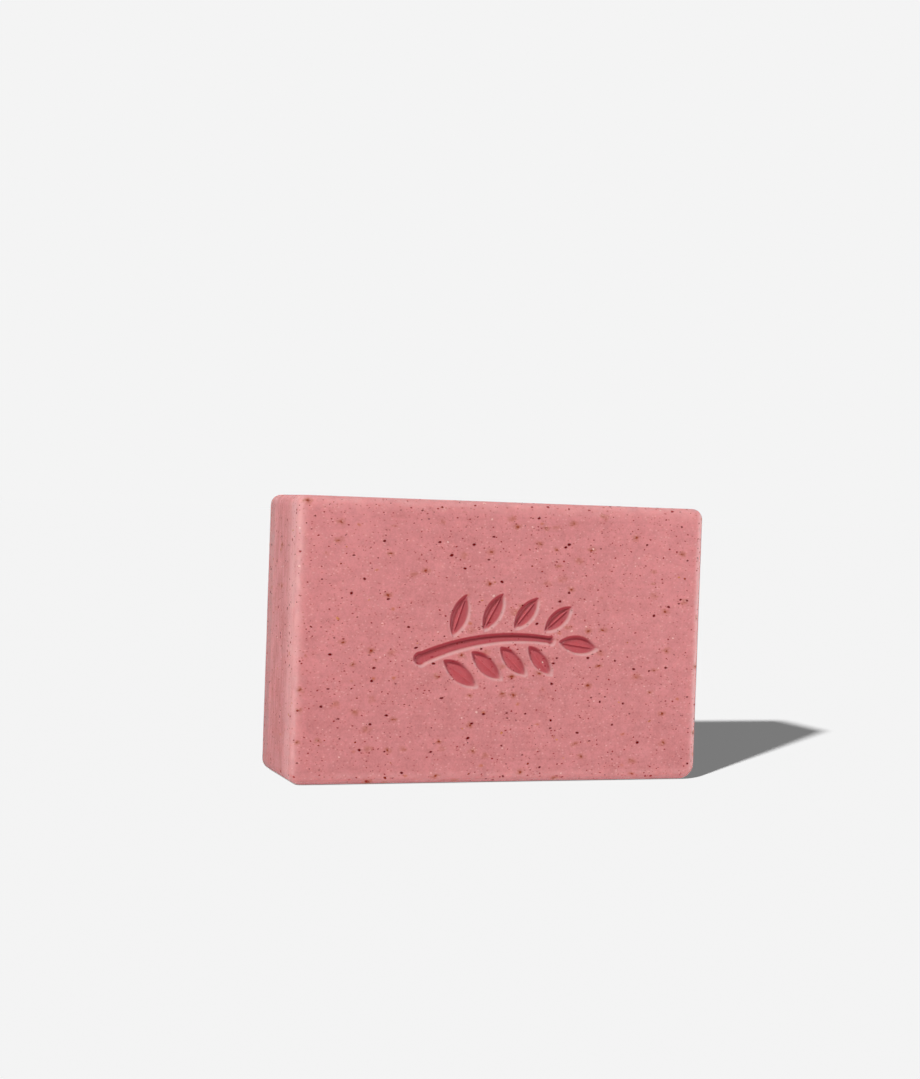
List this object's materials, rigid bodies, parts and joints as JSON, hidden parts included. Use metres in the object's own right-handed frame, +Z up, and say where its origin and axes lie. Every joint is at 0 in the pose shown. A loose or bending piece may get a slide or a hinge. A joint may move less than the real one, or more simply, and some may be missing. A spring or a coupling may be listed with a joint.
{
  "type": "bar of soap",
  "caption": "Rounded rectangular bar of speckled pink soap, standing on a long narrow side, with a leaf sprig pressed into its front face.",
  "frame": {"origin": "middle of the long narrow side that the bar stands on", "axes": "+X along the bar's length, -Y out of the pressed front face, +Z up"},
  "size_m": [0.08, 0.023, 0.0518],
  "materials": {
    "soap": "soft satin, pink with fine dark, brown, amber and pale flecks"
  },
  "bodies": {
    "root": {"soap_bar": "soap"}
  },
  "joints": []
}
